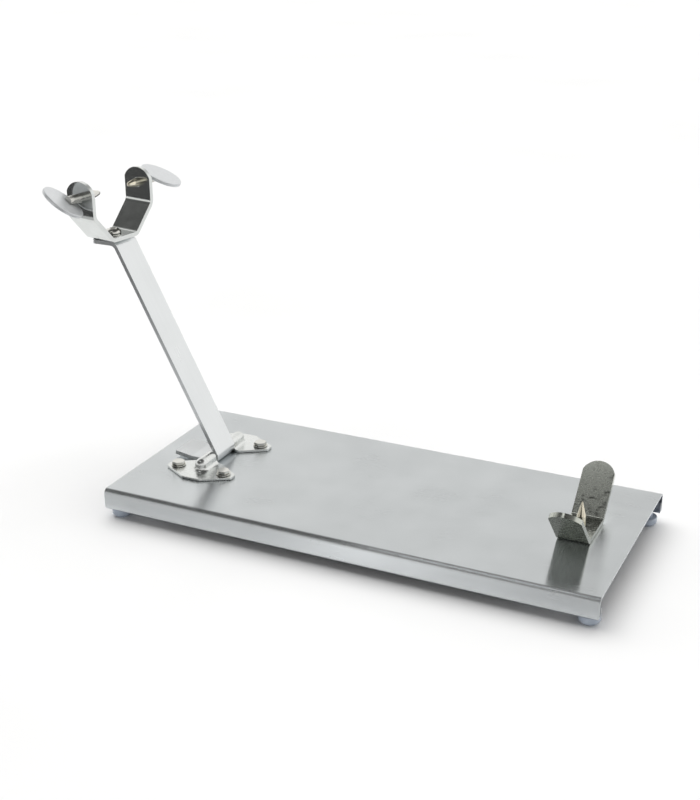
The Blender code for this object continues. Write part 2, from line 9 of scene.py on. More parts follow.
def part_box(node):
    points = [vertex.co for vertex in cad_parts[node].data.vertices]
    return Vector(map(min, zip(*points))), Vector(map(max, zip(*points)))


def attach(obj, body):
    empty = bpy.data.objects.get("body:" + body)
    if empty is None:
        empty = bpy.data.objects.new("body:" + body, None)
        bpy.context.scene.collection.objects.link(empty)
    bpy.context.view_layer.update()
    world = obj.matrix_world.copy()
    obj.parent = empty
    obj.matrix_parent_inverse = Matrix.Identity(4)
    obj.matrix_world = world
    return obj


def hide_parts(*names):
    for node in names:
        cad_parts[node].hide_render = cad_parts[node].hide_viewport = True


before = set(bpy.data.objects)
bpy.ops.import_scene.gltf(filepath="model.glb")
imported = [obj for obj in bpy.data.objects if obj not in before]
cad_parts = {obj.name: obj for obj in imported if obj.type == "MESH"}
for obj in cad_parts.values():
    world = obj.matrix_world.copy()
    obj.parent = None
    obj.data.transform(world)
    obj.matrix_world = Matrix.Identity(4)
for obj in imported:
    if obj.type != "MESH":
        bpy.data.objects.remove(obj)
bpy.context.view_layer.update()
scene = bpy.context.scene

# ---------------------------------------------------------------- camera

VIEW_AZIMUTH = radians(25.16)
VIEW_ELEVATION = radians(22.12)
VIEW_DISTANCE = 1.172
VIEW_SHIFT_RIGHT = -0.0285
VIEW_SHIFT_UP = 0.0784
VIEW_LENS = 61.02


def make_camera():
    deck_low, deck_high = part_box("base_plate")
    target = Vector(((deck_low.x + deck_high.x) / 2, 0, deck_high.z))
    back = Vector((
        sin(VIEW_AZIMUTH) * cos(VIEW_ELEVATION),
        -cos(VIEW_AZIMUTH) * cos(VIEW_ELEVATION),
        sin(VIEW_ELEVATION),
    ))
    right = Vector((cos(VIEW_AZIMUTH), sin(VIEW_AZIMUTH), 0))
    up = back.cross(right)
    data = bpy.data.cameras.new("camera")
    data.lens = VIEW_LENS
    data.sensor_width = 36
    data.clip_start = 0.02
    camera = bpy.data.objects.new("camera", data)
    scene.collection.objects.link(camera)
    turn = Matrix((right, up, back)).transposed().to_4x4()
    place = target + back * VIEW_DISTANCE + right * VIEW_SHIFT_RIGHT + up * VIEW_SHIFT_UP
    camera.matrix_world = Matrix.Translation(place) @ turn
    scene.camera = camera


# ---------------------------------------------------------------- node trees

def add_node(tree, kind, **settings):
    node = tree.nodes.new(kind)
    for name, value in settings.items():
        if hasattr(node, name):
            setattr(node, name, value)
        else:
            node.inputs[name.replace("_", " ")].default_value = value
    return node


def noise(tree, vector, scale, detail=2.0, rough=0.5):
    node = add_node(tree, "ShaderNodeTexNoise")
    node.inputs["Scale"].default_value = scale
    node.inputs["Detail"].default_value = detail
    node.inputs["Roughness"].default_value = rough
    tree.links.new(vector, node.inputs["Vector"])
    return node.outputs["Fac"]


def stretched(tree, vector, scale):
    node = add_node(tree, "ShaderNodeMapping")
    node.inputs["Scale"].default_value = scale
    tree.links.new(vector, node.inputs["Vector"])
    return node.outputs["Vector"]


def ranged(tree, value, low, high, start=0.3, end=0.7):
    """A value from a noise, remapped to run between two numbers."""
    node = add_node(tree, "ShaderNodeMapRange")
    node.inputs["From Min"].default_value = start
    node.inputs["From Max"].default_value = end
    node.inputs["To Min"].default_value = low
    node.inputs["To Max"].default_value = high
    tree.links.new(value, node.inputs["Value"])
    return node.outputs["Result"]


def maths(tree, operation, first, second):
    node = add_node(tree, "ShaderNodeMath", operation=operation)
    for socket, value in zip(node.inputs, (first, second)):
        if isinstance(value, (int, float)):
            socket.default_value = value
        else:
            tree.links.new(value, socket)
    return node.outputs[0]


def level_ramp(tree, value, stops):
    """A level that follows a value through a list of places and levels, smoothly."""
    node = add_node(tree, "ShaderNodeValToRGB")
    ramp = node.color_ramp
    ramp.interpolation = "EASE"
    low, high = stops[0][0], stops[-1][0]
    span = (high - low) or 1.0
    top = max(level for place, level in stops)
    while len(ramp.elements) < len(stops):
        ramp.elements.new(0.5)
    while len(ramp.elements) > len(stops):
        ramp.elements.remove(ramp.elements[-1])
    for element, (place, level) in zip(ramp.elements, stops):
        element.position = (place - low) / span
        element.color = (level / top, level / top, level / top, 1)
    tree.links.new(ranged(tree, value, 0.0, 1.0, low, low + span), node.inputs["Fac"])
    return maths(tree, "MULTIPLY", node.outputs["Color"], top)


def tinted(tree, factor, dark, light):
    node = add_node(tree, "ShaderNodeMix", data_type="RGBA")
    node.inputs[6].default_value = (*dark, 1)
    node.inputs[7].default_value = (*light, 1)
    tree.links.new(factor, node.inputs["Factor"])
    return node.outputs[2]


def new_material(name):
    material = bpy.data.materials.new(name)
    material.use_nodes = True
    tree = material.node_tree
    shader = tree.nodes["Principled BSDF"]
    return material, tree, shader


def brushed_steel(name, colour, rough, aniso, grain, smudge):
    """Sheet with a fine grain. UV's first axis runs across the grain, and the second along it."""
    material, tree, shader = new_material(name)
    shader.inputs["Metallic"].default_value = 1
    shader.inputs["Anisotropic"].default_value = aniso
    where = add_node(tree, "ShaderNodeUVMap", uv_map="grain").outputs["UV"]
    fine = noise(tree, stretched(tree, where, (grain, grain / 90, 1)), 1.0, 3.0, 0.6)
    broad = noise(tree, stretched(tree, where, (grain / 12, grain / 260, 1)), 1.0, 2.0)
    place = add_node(tree, "ShaderNodeTexCoord").outputs["Object"]
    stains = noise(tree, place, 26.0, 4.0, 0.55)
    streaks = maths(tree, "ADD", maths(tree, "MULTIPLY", fine, 0.6), maths(tree, "MULTIPLY", broad, 0.4))
    dark = [c * 0.965 for c in colour]
    light = [min(1, c * 1.02) for c in colour]
    tree.links.new(tinted(tree, ranged(tree, streaks, 0, 1), dark, light), shader.inputs["Base Color"])
    worn = maths(tree, "ADD", ranged(tree, streaks, -0.012, 0.012), ranged(tree, stains, -smudge, smudge))
    tree.links.new(maths(tree, "ADD", worn, rough), shader.inputs["Roughness"])
    bump = add_node(tree, "ShaderNodeBump", Strength=0.03, Distance=0.00002)
    tree.links.new(streaks, bump.inputs["Height"])
    tree.links.new(bump.outputs["Normal"], shader.inputs["Normal"])
    tangent = add_node(tree, "ShaderNodeTangent", direction_type="UV_MAP", uv_map="grain")
    tree.links.new(tangent.outputs["Tangent"], shader.inputs["Tangent"])
    return material


def polished_steel(name, colour, rough, mottle, mottle_scale, scratch=0.02, patches=60.0, metal=1.0):
    """Buffed metal: slightly uneven, with faint rub marks and dull patches."""
    material, tree, shader = new_material(name)
    shader.inputs["Metallic"].default_value = metal
    place = add_node(tree, "ShaderNodeTexCoord").outputs["Object"]
    cloud = noise(tree, place, mottle_scale, 3.0, 0.55)
    rub = noise(tree, stretched(tree, place, (160, 900, 160)), 1.0, 2.0, 0.6)
    patch = noise(tree, place, patches, 4.0, 0.6)
    dark = [c * 0.92 for c in colour]
    light = [min(1, c * 1.05) for c in colour]
    tree.links.new(tinted(tree, ranged(tree, patch, 0, 1), dark, light), shader.inputs["Base Color"])
    patchy = ranged(tree, patch, -scratch, scratch * 1.5)
    dull = maths(tree, "ADD", patchy, ranged(tree, rub, -scratch, scratch))
    tree.links.new(maths(tree, "ADD", dull, rough), shader.inputs["Roughness"])
    bump = add_node(tree, "ShaderNodeBump", Strength=0.25, Distance=mottle)
    tree.links.new(cloud, bump.inputs["Height"])
    tree.links.new(bump.outputs["Normal"], shader.inputs["Normal"])
    return material


def rubber(name):
    material, tree, shader = new_material(name)
    place = add_node(tree, "ShaderNodeTexCoord").outputs["Object"]
    cloud = noise(tree, place, 90.0, 3.0)
    speck = noise(tree, place, 1500.0, 2.0)
    tint = tinted(tree, ranged(tree, cloud, 0, 1), (0.30, 0.35, 0.42), (0.42, 0.47, 0.55))
    tree.links.new(tint, shader.inputs["Base Color"])
    tree.links.new(ranged(tree, speck, 0.16, 0.3), shader.inputs["Roughness"])
    shader.inputs["IOR"].default_value = 1.52
    shader.inputs["Coat Weight"].default_value = 0.35
    bump = add_node(tree, "ShaderNodeBump", Strength=0.2, Distance=0.00005)
    tree.links.new(speck, bump.inputs["Height"])
    tree.links.new(bump.outputs["Normal"], shader.inputs["Normal"])
    return material


# ---------------------------------------------------------------- studio

FLOOR_HALF = 9.0


def make_floor():
    half = FLOOR_HALF
    mesh = bpy.data.meshes.new("floor")
    corners = [(-half, -half, 0), (half, -half, 0), (half, half, 0), (-half, half, 0)]
    mesh.from_pydata(corners, [], [(0, 1, 2, 3)])
    floor_plane = bpy.data.objects.new("floor", mesh)
    scene.collection.objects.link(floor_plane)
    material, tree, shader = new_material("floor_paper")
    place = add_node(tree, "ShaderNodeTexCoord").outputs["Object"]
    cloud = noise(tree, place, 3.0, 3.0)
    tint = tinted(tree, ranged(tree, cloud, 0, 1), (0.86, 0.86, 0.86), (0.90, 0.90, 0.90))
    tree.links.new(tint, shader.inputs["Base Color"])
    shader.inputs["Roughness"].default_value = 0.85
    shader.inputs["Specular IOR Level"].default_value = 0.1
    mesh.materials.append(material)


# Brightness of the paper just in front of the stand, along +X from end to end of the card.
FRONT_PAPER = [(0.40, 0.56), (0.47, 0.64), (0.52, 1.02), (0.545, 0.86), (0.57, 0.68), (0.61, 0.50)]


def make_card(name, left, right, front, back, height, levels):
    """A level lit or dark studio card that only shows in reflections. levels run along its length."""
    mesh = bpy.data.meshes.new(name)
    corners = [(left, front, height), (right, front, height), (right, back, height), (left, back, height)]
    mesh.from_pydata(corners, [], [(0, 1, 2, 3)])
    card = bpy.data.objects.new(name, mesh)
    scene.collection.objects.link(card)
    material = bpy.data.materials.new(name)
    material.use_nodes = True
    tree = material.node_tree
    tree.nodes.clear()
    split = add_node(tree, "ShaderNodeSeparateXYZ")
    tree.links.new(add_node(tree, "ShaderNodeTexCoord").outputs["Object"], split.inputs[0])
    place = ranged(tree, split.outputs["X"], 0.0, 1.0, left, right)
    glow = add_node(tree, "ShaderNodeEmission")
    tree.links.new(level_ramp(tree, place, levels), glow.inputs["Strength"])
    out = add_node(tree, "ShaderNodeOutputMaterial")
    tree.links.new(glow.outputs[0], out.inputs["Surface"])
    mesh.materials.append(material)
    card.visible_camera = False
    card.visible_diffuse = False
    card.visible_shadow = False
    card.visible_transmission = False


# Brightness of the room by the sine of the height above the horizon, to the front left of the
# stand, to its front right, and behind it.
WORLD_FRONT = ((-0.02, 0.10), (0.03, 1.0), (0.24, 1.0), (0.33, 0.13), (0.95, 0.07))
WORLD_RIGHT = ((-0.02, 0.10), (0.03, 1.0), (0.46, 0.9), (0.60, 0.25), (0.95, 0.12))
WORLD_BACK = ((-0.02, 1.05), (0.10, 1.05), (0.60, 1.12), (0.82, 0.10), (0.95, 0.08))


def make_world():
    """A pale room: bright walls and a dark ceiling."""
    world = bpy.data.worlds.new("studio")
    scene.world = world
    scene.view_settings.view_transform = "Standard"
    world.use_nodes = True
    tree = world.node_tree
    ground = tree.nodes["Background"]
    direction = add_node(tree, "ShaderNodeTexCoord").outputs["Generated"]
    split = add_node(tree, "ShaderNodeSeparateXYZ")
    tree.links.new(direction, split.inputs[0])
    rise = split.outputs["Z"]
    level = level_ramp(tree, rise, WORLD_FRONT)
    sides = (("X", 0.05, 0.3, WORLD_RIGHT), ("Y", -0.2, 0.1, WORLD_BACK))
    for axis, start, end, stops in sides:
        mix = add_node(tree, "ShaderNodeMix", data_type="RGBA")
        tree.links.new(ranged(tree, split.outputs[axis], 0.0, 1.0, start, end), mix.inputs["Factor"])
        tree.links.new(level, mix.inputs[6])
        tree.links.new(level_ramp(tree, rise, stops), mix.inputs[7])
        level = mix.outputs[2]
    tree.links.new(level, ground.inputs["Strength"])
    ground.inputs["Color"].default_value = (1.0, 0.995, 0.98, 1)


SUN_ENERGY = 2.4
SUN_ANGLE = radians(70)


def make_lights():
    sun = bpy.data.lights.new("overhead", "SUN")
    sun.energy = SUN_ENERGY
    sun.angle = SUN_ANGLE
    item = bpy.data.objects.new("overhead", sun)
    item.rotation_euler = (radians(-12), radians(-14), 0)
    item.visible_glossy = False
    scene.collection.objects.link(item)


# ---------------------------------------------------------------- mesh building

def new_object(name, verts, faces):
    mesh = bpy.data.meshes.new(name)
    mesh.from_pydata(verts, [], faces)
    mesh.validate()
    item = bpy.data.objects.new(name, mesh)
    scene.collection.objects.link(item)
    return item


def finish_piece(item, body, material, stands_for, easing=0.0, segments=2, grain=None, angle=28):
    """Ease the edges, shade smooth, lay the grain, tie the piece to its body, and hide the CAD nodes it
    stands for.
    """
    shape = bmesh.new()
    shape.from_mesh(item.data)
    if easing > 0:
        sharp = [
            edge for edge in shape.edges
            if len(edge.link_faces) == 2 and edge.calc_face_angle(0) > radians(angle)
        ]
        bmesh.ops.bevel(
            shape, geom=sharp, offset=easing, offset_type="OFFSET", segments=segments,
            profile=0.5, affect="EDGES", clamp_overlap=True,
        )
    bmesh.ops.recalc_face_normals(shape, faces=shape.faces)
    if grain is not None:
        lay_grain(shape, Vector(grain))
    shape.to_mesh(item.data)
    shape.free()
    item.data.shade_smooth()
    item.data.set_sharp_from_angle(angle=radians(42))
    weigh = item.modifiers.new("weighted", "WEIGHTED_NORMAL")
    weigh.keep_sharp = True
    item.data.materials.clear()
    item.data.materials.append(material)
    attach(item, body)
    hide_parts(*([stands_for] if isinstance(stands_for, str) else stands_for))
    return item


def lay_grain(shape, grain):
    """UVs in metres, with the first axis across the grain and the second along it."""
    layer = shape.loops.layers.uv.new("grain")
    for face in shape.faces:
        along = grain - face.normal * grain.dot(face.normal)
        if along.length < 0.2:
            along = face.normal.orthogonal()
        along.normalize()
        across = along.cross(face.normal).normalized()
        for loop in face.loops:
            place = loop.vert.co
            loop[layer].uv = (place.dot(across), place.dot(along))


def copy_of(node, name):
    """A clean copy of a CAD node's mesh, with its flat faces whole again."""
    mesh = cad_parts[node].data.copy()
    mesh.name = name
    shape = bmesh.new()
    shape.from_mesh(mesh)
    bmesh.ops.remove_doubles(shape, verts=shape.verts, dist=2e-6)
    bmesh.ops.dissolve_limit(
        shape, angle_limit=radians(0.6), verts=shape.verts, edges=shape.edges, use_dissolve_boundaries=False
    )
    shape.to_mesh(mesh)
    shape.free()
    for layer in list(mesh.attributes):
        if layer.name == "custom_normal" or layer.name == "sharp_edge":
            mesh.attributes.remove(layer)
    item = bpy.data.objects.new(name, mesh)
    scene.collection.objects.link(item)
    return item


def lathe(name, profile, sides=64):
    """Rings about +Z from a list of radius and height.

    A radius of 0 closes an end. A profile that ends on its first point makes a closed ring.
    """
    verts, faces, rings = [], [], []
    for radius, height in profile:
        if rings and (radius, height) == profile[0]:
            rings.append(rings[0])
            continue
        if radius == 0:
            rings.append([len(verts)])
            verts.append((0, 0, height))
            continue
        rings.append(list(range(len(verts), len(verts) + sides)))
        for side in range(sides):
            angle = 2 * pi * side / sides
            verts.append((radius * cos(angle), radius * sin(angle), height))
    for below, above in zip(rings, rings[1:]):
        for side in range(sides):
            after = (side + 1) % sides
            quad = [below[side % len(below)], below[after % len(below)]]
            quad += [above[after % len(above)], above[side % len(above)]]
            face = list(dict.fromkeys(quad))
            if len(face) > 2:
                faces.append(face)
    return new_object(name, verts, faces)


def rounded(profile, radii, steps=5):
    """A 2D line with its corners rounded."""
    line = []
    for index, (x, y) in enumerate(profile):
        radius = radii[index]
        if radius == 0 or index in (0, len(profile) - 1):
            line.append((x, y))
            continue
        corner = Vector((x, y))
        before = (Vector(profile[index - 1]) - corner).normalized()
        after = (Vector(profile[index + 1]) - corner).normalized()
        half = before.angle(after) / 2
        start = corner + before * radius / tan(half)
        end = corner + after * radius / tan(half)
        centre = corner + (before + after).normalized() * radius / sin(half)
        first = atan2(start.y - centre.y, start.x - centre.x)
        last = atan2(end.y - centre.y, end.x - centre.x)
        sweep = (last - first + pi) % (2 * pi) - pi
        for step in range(steps + 1):
            turn = first + sweep * step / steps
            line.append((centre.x + radius * cos(turn), centre.y + radius * sin(turn)))
    return line


def transform(item, matrix):
    item.data.transform(matrix)
    return item


BOLT_HEAD = 0.0024
BOLT_HOLE = 0.0033
BOLT_RADIUS = 0.003
BOLT_FLATS = 0.010
WASHER_RADIUS = 0.0065
BOLT_TURNS = {"front_left": 12, "front_right": 41, "back_left": 27, "back_right": 5}


def applied(item):
    """Make the modifiers on an object part of its mesh, and close any hole wall they leave open."""
    bpy.context.view_layer.update()
    solid = bpy.data.meshes.new_from_object(item.evaluated_get(bpy.context.evaluated_depsgraph_get()))
    item.modifiers.clear()
    item.data = solid
    shape = bmesh.new()
    shape.from_mesh(solid)
    bmesh.ops.remove_doubles(shape, verts=shape.verts, dist=1e-6)
    bmesh.ops.dissolve_degenerate(shape, edges=shape.edges, dist=1e-6)
    rims = [edge for edge in shape.edges if edge.is_boundary]
    if rims:
        bmesh.ops.bridge_loops(shape, edges=rims)
        bmesh.ops.recalc_face_normals(shape, faces=shape.faces)
    shape.to_mesh(solid)
    shape.free()
    return item


def upright(node, height):
    """A frame at one height on the upright axis through the middle of a node's box."""
    low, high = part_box(node)
    return Matrix.Translation(((low.x + high.x) / 2, (low.y + high.y) / 2, height))


def pierce(item, radius, reach, places):
    """Cut a round hole along local Z through an object at each place, a matrix."""
    for place in places:
        path = [(0, -reach), (radius, -reach), (radius, reach), (0, reach)]
        drill = transform(lathe("drill", path, 48), place)
        cut = item.modifiers.new("hole", "BOOLEAN")
        cut.operation = "DIFFERENCE"
        cut.solver = "EXACT"
        cut.object = drill
        applied(item)
        bpy.data.objects.remove(drill)
    return item


# ---------------------------------------------------------------- pieces: bent strips

def bent_strip(name, line, thickness, half_width, matrix):
    """A strip bent along a 2D line.

    half_width gives its half width from a point and the point's distances from both ends.
    Its own axes are: x across the strip, y and z in the plane of the line.
    """
    lengths = [0.0]
    for (ax, ay), (bx, by) in zip(line, line[1:]):
        lengths.append(lengths[-1] + sqrt((bx - ax) ** 2 + (by - ay) ** 2))
    verts, faces = [], []
    for index, point in enumerate(line):
        here = Vector(point)
        back = Vector(line[max(index - 1, 0)])
        ahead = Vector(line[min(index + 1, len(line) - 1)])
        into = (here - back).normalized() if index > 0 else (ahead - here).normalized()
        out = (ahead - here).normalized() if index < len(line) - 1 else into
        along = (into + out).normalized()
        side = Vector((-along.y, along.x)) * (thickness / 2 / along.dot(into))
        half = half_width(here, lengths[index], lengths[-1] - lengths[index])
        for face_point in (here + side, here - side):
            verts.append((-half, face_point.x, face_point.y))
            verts.append((half, face_point.x, face_point.y))
    last = 4 * (len(line) - 1)
    for start in range(0, last, 4):
        a, b, c, d = start, start + 1, start + 3, start + 2
        for first, second in ((a, b), (b, c), (c, d), (d, a)):
            faces.append((first, second, second + 4, first + 4))
    faces.append((0, 1, 3, 2))
    faces.append((last, last + 1, last + 3, last + 2))
    return transform(new_object(name, verts, faces), matrix)


def with_stations(line, places):
    """Add points to the straight first and last stretches of a line, at distances from each end."""
    def stretch(end, inner):
        end, inner = Vector(end), Vector(inner)
        way = (inner - end).normalized()
        return [tuple(end + way * place) for place in places if place < (inner - end).length]
    head = [line[0], *stretch(line[0], line[1])]
    tail = [line[-1], *stretch(line[-1], line[-2])]
    return head + line[1:-1] + tail[::-1]


def round_end(radius, half):
    """Half width near a round end, and the distances from the end where it needs points."""
    corner = acos(min(1, half / radius))
    steps = 14
    angles = [pi / 2 - (pi / 2 - corner) * step / steps for step in range(1, steps + 1)]
    places = [radius - radius * sin(angle) for angle in angles]

    def width(distance):
        if distance >= places[-1]:
            return half
        distance = max(distance, radius * 0.0006)
        return min(half, sqrt(radius ** 2 - (radius - distance) ** 2))
    return width, places


ALONG_X = Matrix(((1, 0, 0, 0), (0, 1, 0, 0), (0, 0, 1, 0), (0, 0, 0, 1)))
ALONG_Y = Matrix(((0, 1, 0, 0), (1, 0, 0, 0), (0, 0, 1, 0), (0, 0, 0, 1)))

SHEET = 0.0015
FLANGE_CORNER = 0.003
BASE_BEND = 0.0045
HEM_DEPTH = 0.005
HEM_HEIGHT = 0.0105


def make_base(material, painted_shade_material):
    low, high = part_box("base_plate")
    centre = (low.x + high.x) / 2
    half_length = (high.x - low.x) / 2
    half = (high.y - low.y) / 2 - SHEET / 2
    top = high.z - SHEET / 2
    bottom = low.z + SHEET / 2
    inner = high.y - HEM_DEPTH + SHEET / 2
    hem = (HEM_DEPTH - SHEET) / 2 - 0.00002
    side = [(-inner, low.z + HEM_HEIGHT), (-inner, bottom), (-half, bottom), (-half, top)]
    path = side + [(-y, z) for y, z in reversed(side)]
    bend = BASE_BEND - SHEET / 2
    line = rounded(path, [0, hem, hem, bend, bend, hem, hem, 0], steps=9)

    def half_width(point, start, end):
        rise = point.y - low.z
        if rise >= FLANGE_CORNER:
            return half_length
        return half_length - FLANGE_CORNER + sqrt(FLANGE_CORNER ** 2 - (FLANGE_CORNER - rise) ** 2)
    place = Matrix.Translation((centre, 0, 0)) @ ALONG_X
    base = bent_strip("base_sheet", line, SHEET, half_width, place)
    fastened = [f"hinge_bolt_{spot}" for spot in BOLT_TURNS] + ["cradle_spike"]
    pierce(base, BOLT_HOLE, 0.006, [upright(node, top) for node in fastened])
    finish_piece(base, "base", material, "base_plate", easing=0.0002, grain=(1, 0, 0))
    # The underside and the faces turned in under the deck take a darker copy of the sheet steel: painted
    # shade for the dark space under the stand.
    base.data.materials.append(painted_shade_material)
    for face in base.data.polygons:
        inward = face.normal.y * face.center.y < -0.0005 and face.center.z < top - SHEET
        if face.normal.z < -0.5 or inward:
            face.material_index = 1


PIVOT_X = -0.1265
PIVOT_Z = 0.0342
ARM_WIDTH = 0.030
ARM_THICKNESS = 0.0035
ARM_LEAN = radians(62.7)
ARM_BEND_INSIDE = 0.0033
TAIL_HEEL = 0.021
TAIL_REACH = 0.038
TAIL_RISE = radians(8)
TAB_TOP = 0.2222
TAB_REACH = 0.1145
TAB_CORNER = 0.004


def make_arm(material):
    middle = ARM_BEND_INSIDE + ARM_THICKNESS / 2
    fold_x = middle * tan((pi - ARM_LEAN) / 2)
    tab_z = TAB_TOP - ARM_THICKNESS / 2 - PIVOT_Z
    tab_x = fold_x - (tab_z + middle) / tan(ARM_LEAN)
    tail_z = -middle + (TAIL_REACH - TAIL_HEEL) * tan(TAIL_RISE)
    path = [(-TAIL_REACH, tail_z), (-TAIL_HEEL, -middle), (fold_x, -middle)]
    path += [(tab_x, tab_z), (-TAB_REACH, tab_z)]
    line = rounded(path, [0, 0.010, middle, 0.007, 0], steps=14)
    half = ARM_WIDTH / 2
    places = [TAB_CORNER * (1 - cos(radians(angle))) for angle in range(15, 91, 15)]
    line = line[:1] + with_stations(line, places)[len([p for p in places if p < 0.01]) + 1:]

    def half_width(point, start, end):
        if end >= TAB_CORNER:
            return half
        return half - TAB_CORNER + sqrt(TAB_CORNER ** 2 - (TAB_CORNER - end) ** 2)
    place = Matrix.Translation((PIVOT_X, 0, PIVOT_Z)) @ ALONG_Y
    arm = bent_strip("arm_bar", line, ARM_THICKNESS, half_width, place)
    pierce(arm, 0.00425, 0.006, [Matrix.Translation((HEAD_X, 0, TAB_TOP))])
    grain = (cos(ARM_LEAN), 0, -sin(ARM_LEAN))
    finish_piece(arm, "arm", material, "arm", easing=0.0005, grain=grain)


CLIP_CENTRE_Y = 0.034
CLIP_HALF_LENGTH = 0.033
CLIP_HALF_DEPTH = 0.0185
CLIP_END_HALF_WIDTH = 0.004
CLIP_CREST_HALF_WIDTH = 0.0085
CLIP_THICKNESS = 0.0022
HUMP_RADIUS = 0.0056
HUMP_FILLET = 0.0035
HUMP_END = 0.0328


def make_clip(word, side, material):
    """A pressed plate. Its flat top and the hump over the hinge pin are one thickened skin."""
    low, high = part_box(f"hinge_clip_{word}")
    top = low.z + CLIP_THICKNESS
    inner = CLIP_CENTRE_Y - CLIP_HALF_DEPTH
    profile = [
        (HUMP_RADIUS * sin(radians(a)), PIVOT_Z + HUMP_RADIUS * cos(radians(a)))
        for a in range(0, 91, 10)
    ]
    centre = (HUMP_RADIUS + HUMP_FILLET, top + HUMP_FILLET)
    profile += [
        (centre[0] - HUMP_FILLET * cos(radians(a)), centre[1] - HUMP_FILLET * sin(radians(a)))
        for a in range(0, 91, 15)
    ]
    stations = [(1, 0, inner), (1, 0, (inner + HUMP_END) / 2)]
    stations += [(cos(radians(a)), sin(radians(a)), HUMP_END) for a in range(0, 181, 10)]
    stations += [(-1, 0, (inner + HUMP_END) / 2), (-1, 0, inner)]
    shape = bmesh.new()
    rows = [
        [shape.verts.new((r * way_x, y + r * way_y, z)) for r, z in profile]
        for way_x, way_y, y in stations
    ]
    for first, second in zip(rows, rows[1:]):
        for index in range(len(profile) - 1):
            shape.faces.new((first[index], first[index + 1], second[index + 1], second[index]))
    foot = [row[-1] for row in rows]
    corners = [
        (-centre[0], inner), (-CLIP_CREST_HALF_WIDTH - 0.002, inner),
        (-CLIP_HALF_LENGTH, CLIP_CENTRE_Y - 0.004),
        (-CLIP_HALF_LENGTH, CLIP_CENTRE_Y + CLIP_END_HALF_WIDTH),
        (-CLIP_CREST_HALF_WIDTH, CLIP_CENTRE_Y + CLIP_HALF_DEPTH),
        (CLIP_CREST_HALF_WIDTH, CLIP_CENTRE_Y + CLIP_HALF_DEPTH),
        (CLIP_HALF_LENGTH, CLIP_CENTRE_Y + CLIP_END_HALF_WIDTH),
        (CLIP_HALF_LENGTH, CLIP_CENTRE_Y - 0.004), (CLIP_CREST_HALF_WIDTH + 0.002, inner), (centre[0], inner),
    ]
    outline = rounded(corners, [0, 0.0006, 0.003, 0.003, 0.003, 0.003, 0.003, 0.003, 0.0006, 0])
    rim = [shape.verts.new((x, y, top)) for x, y in outline[1:-1]]
    loop = [foot[-1], *rim, foot[0]]
    edges = [shape.edges.new(pair) for pair in zip(loop, loop[1:])]
    edges += [shape.edges.get(pair) for pair in zip(foot, foot[1:])]
    bmesh.ops.triangle_fill(shape, edges=edges, use_beauty=True, use_dissolve=True)
    bmesh.ops.remove_doubles(shape, verts=shape.verts, dist=1e-7)
    bmesh.ops.recalc_face_normals(shape, faces=shape.faces)
    flip = Matrix.Translation((PIVOT_X, 0, 0)) @ Matrix.Diagonal((1, side, 1, 1))
    bmesh.ops.transform(shape, matrix=flip, verts=shape.verts)
    bmesh.ops.recalc_face_normals(shape, faces=shape.faces)
    upward = sum(face.normal.z * face.calc_area() for face in shape.faces)
    if upward < 0:
        bmesh.ops.reverse_faces(shape, faces=shape.faces)
    clip = new_object(f"clip_{word}", [], [])
    shape.to_mesh(clip.data)
    shape.free()
    thicken = clip.modifiers.new("thickness", "SOLIDIFY")
    thicken.thickness = CLIP_THICKNESS
    thicken.offset = -1
    applied(clip)
    spots = [spot for spot in BOLT_TURNS if spot.startswith(word)]
    pierce(clip, BOLT_HOLE, 0.003, [upright(f"hinge_bolt_{spot}", low.z) for spot in spots])
    finish_piece(clip, "base", material, f"hinge_clip_{word}", easing=0.0004, angle=55)


HEAD_X = -0.2275
HEAD_TURN = radians(-9)
HEAD = Matrix.Translation((HEAD_X, 0, TAB_TOP)) @ Matrix.Rotation(HEAD_TURN, 4, "Z")
GAP = 0.0003
SCREW_HEIGHT = 0.0428
SCREW_HOLE = 0.00425
YOKE_WIDTH = 0.0295
YOKE_THICKNESS = 0.0036
YOKE_FLAT_HALF = 0.015
YOKE_EAR_Y = 0.036
YOKE_FLARE_RISE = 0.0235
YOKE_EAR_TOP = 0.0566
YOKE_EAR_RADIUS = 0.0165


def make_yoke(material):
    seat = GAP + YOKE_THICKNESS / 2
    side = [(YOKE_FLAT_HALF, seat), (YOKE_EAR_Y, seat + YOKE_FLARE_RISE), (YOKE_EAR_Y, YOKE_EAR_TOP)]
    path = [(-y, z) for y, z in reversed(side)] + side
    line = rounded(path, [0, 0.0085, 0.005, 0.005, 0.0085, 0], steps=9)
    width, places = round_end(YOKE_EAR_RADIUS, YOKE_WIDTH / 2)
    line = with_stations(line, places)
    yoke = bent_strip("clamp_yoke", line, YOKE_THICKNESS, lambda p, s, e: width(min(s, e)), HEAD @ ALONG_X)
    pierce(yoke, SCREW_HOLE, 0.006, [HEAD])
    across = Matrix.Translation((0, 0, SCREW_HEIGHT)) @ Matrix.Rotation(pi / 2, 4, "X")
    pierce(yoke, SCREW_HOLE, 0.050, [HEAD @ across])
    finish_piece(yoke, "head", material, "yoke", easing=0.0005)


CRADLE_WIDTH = 0.027
CRADLE_THICKNESS = 0.004
CRADLE_FLAT_HALF = 0.020
CRADLE_ARM = 0.0505
CRADLE_ANGLE = radians(47)


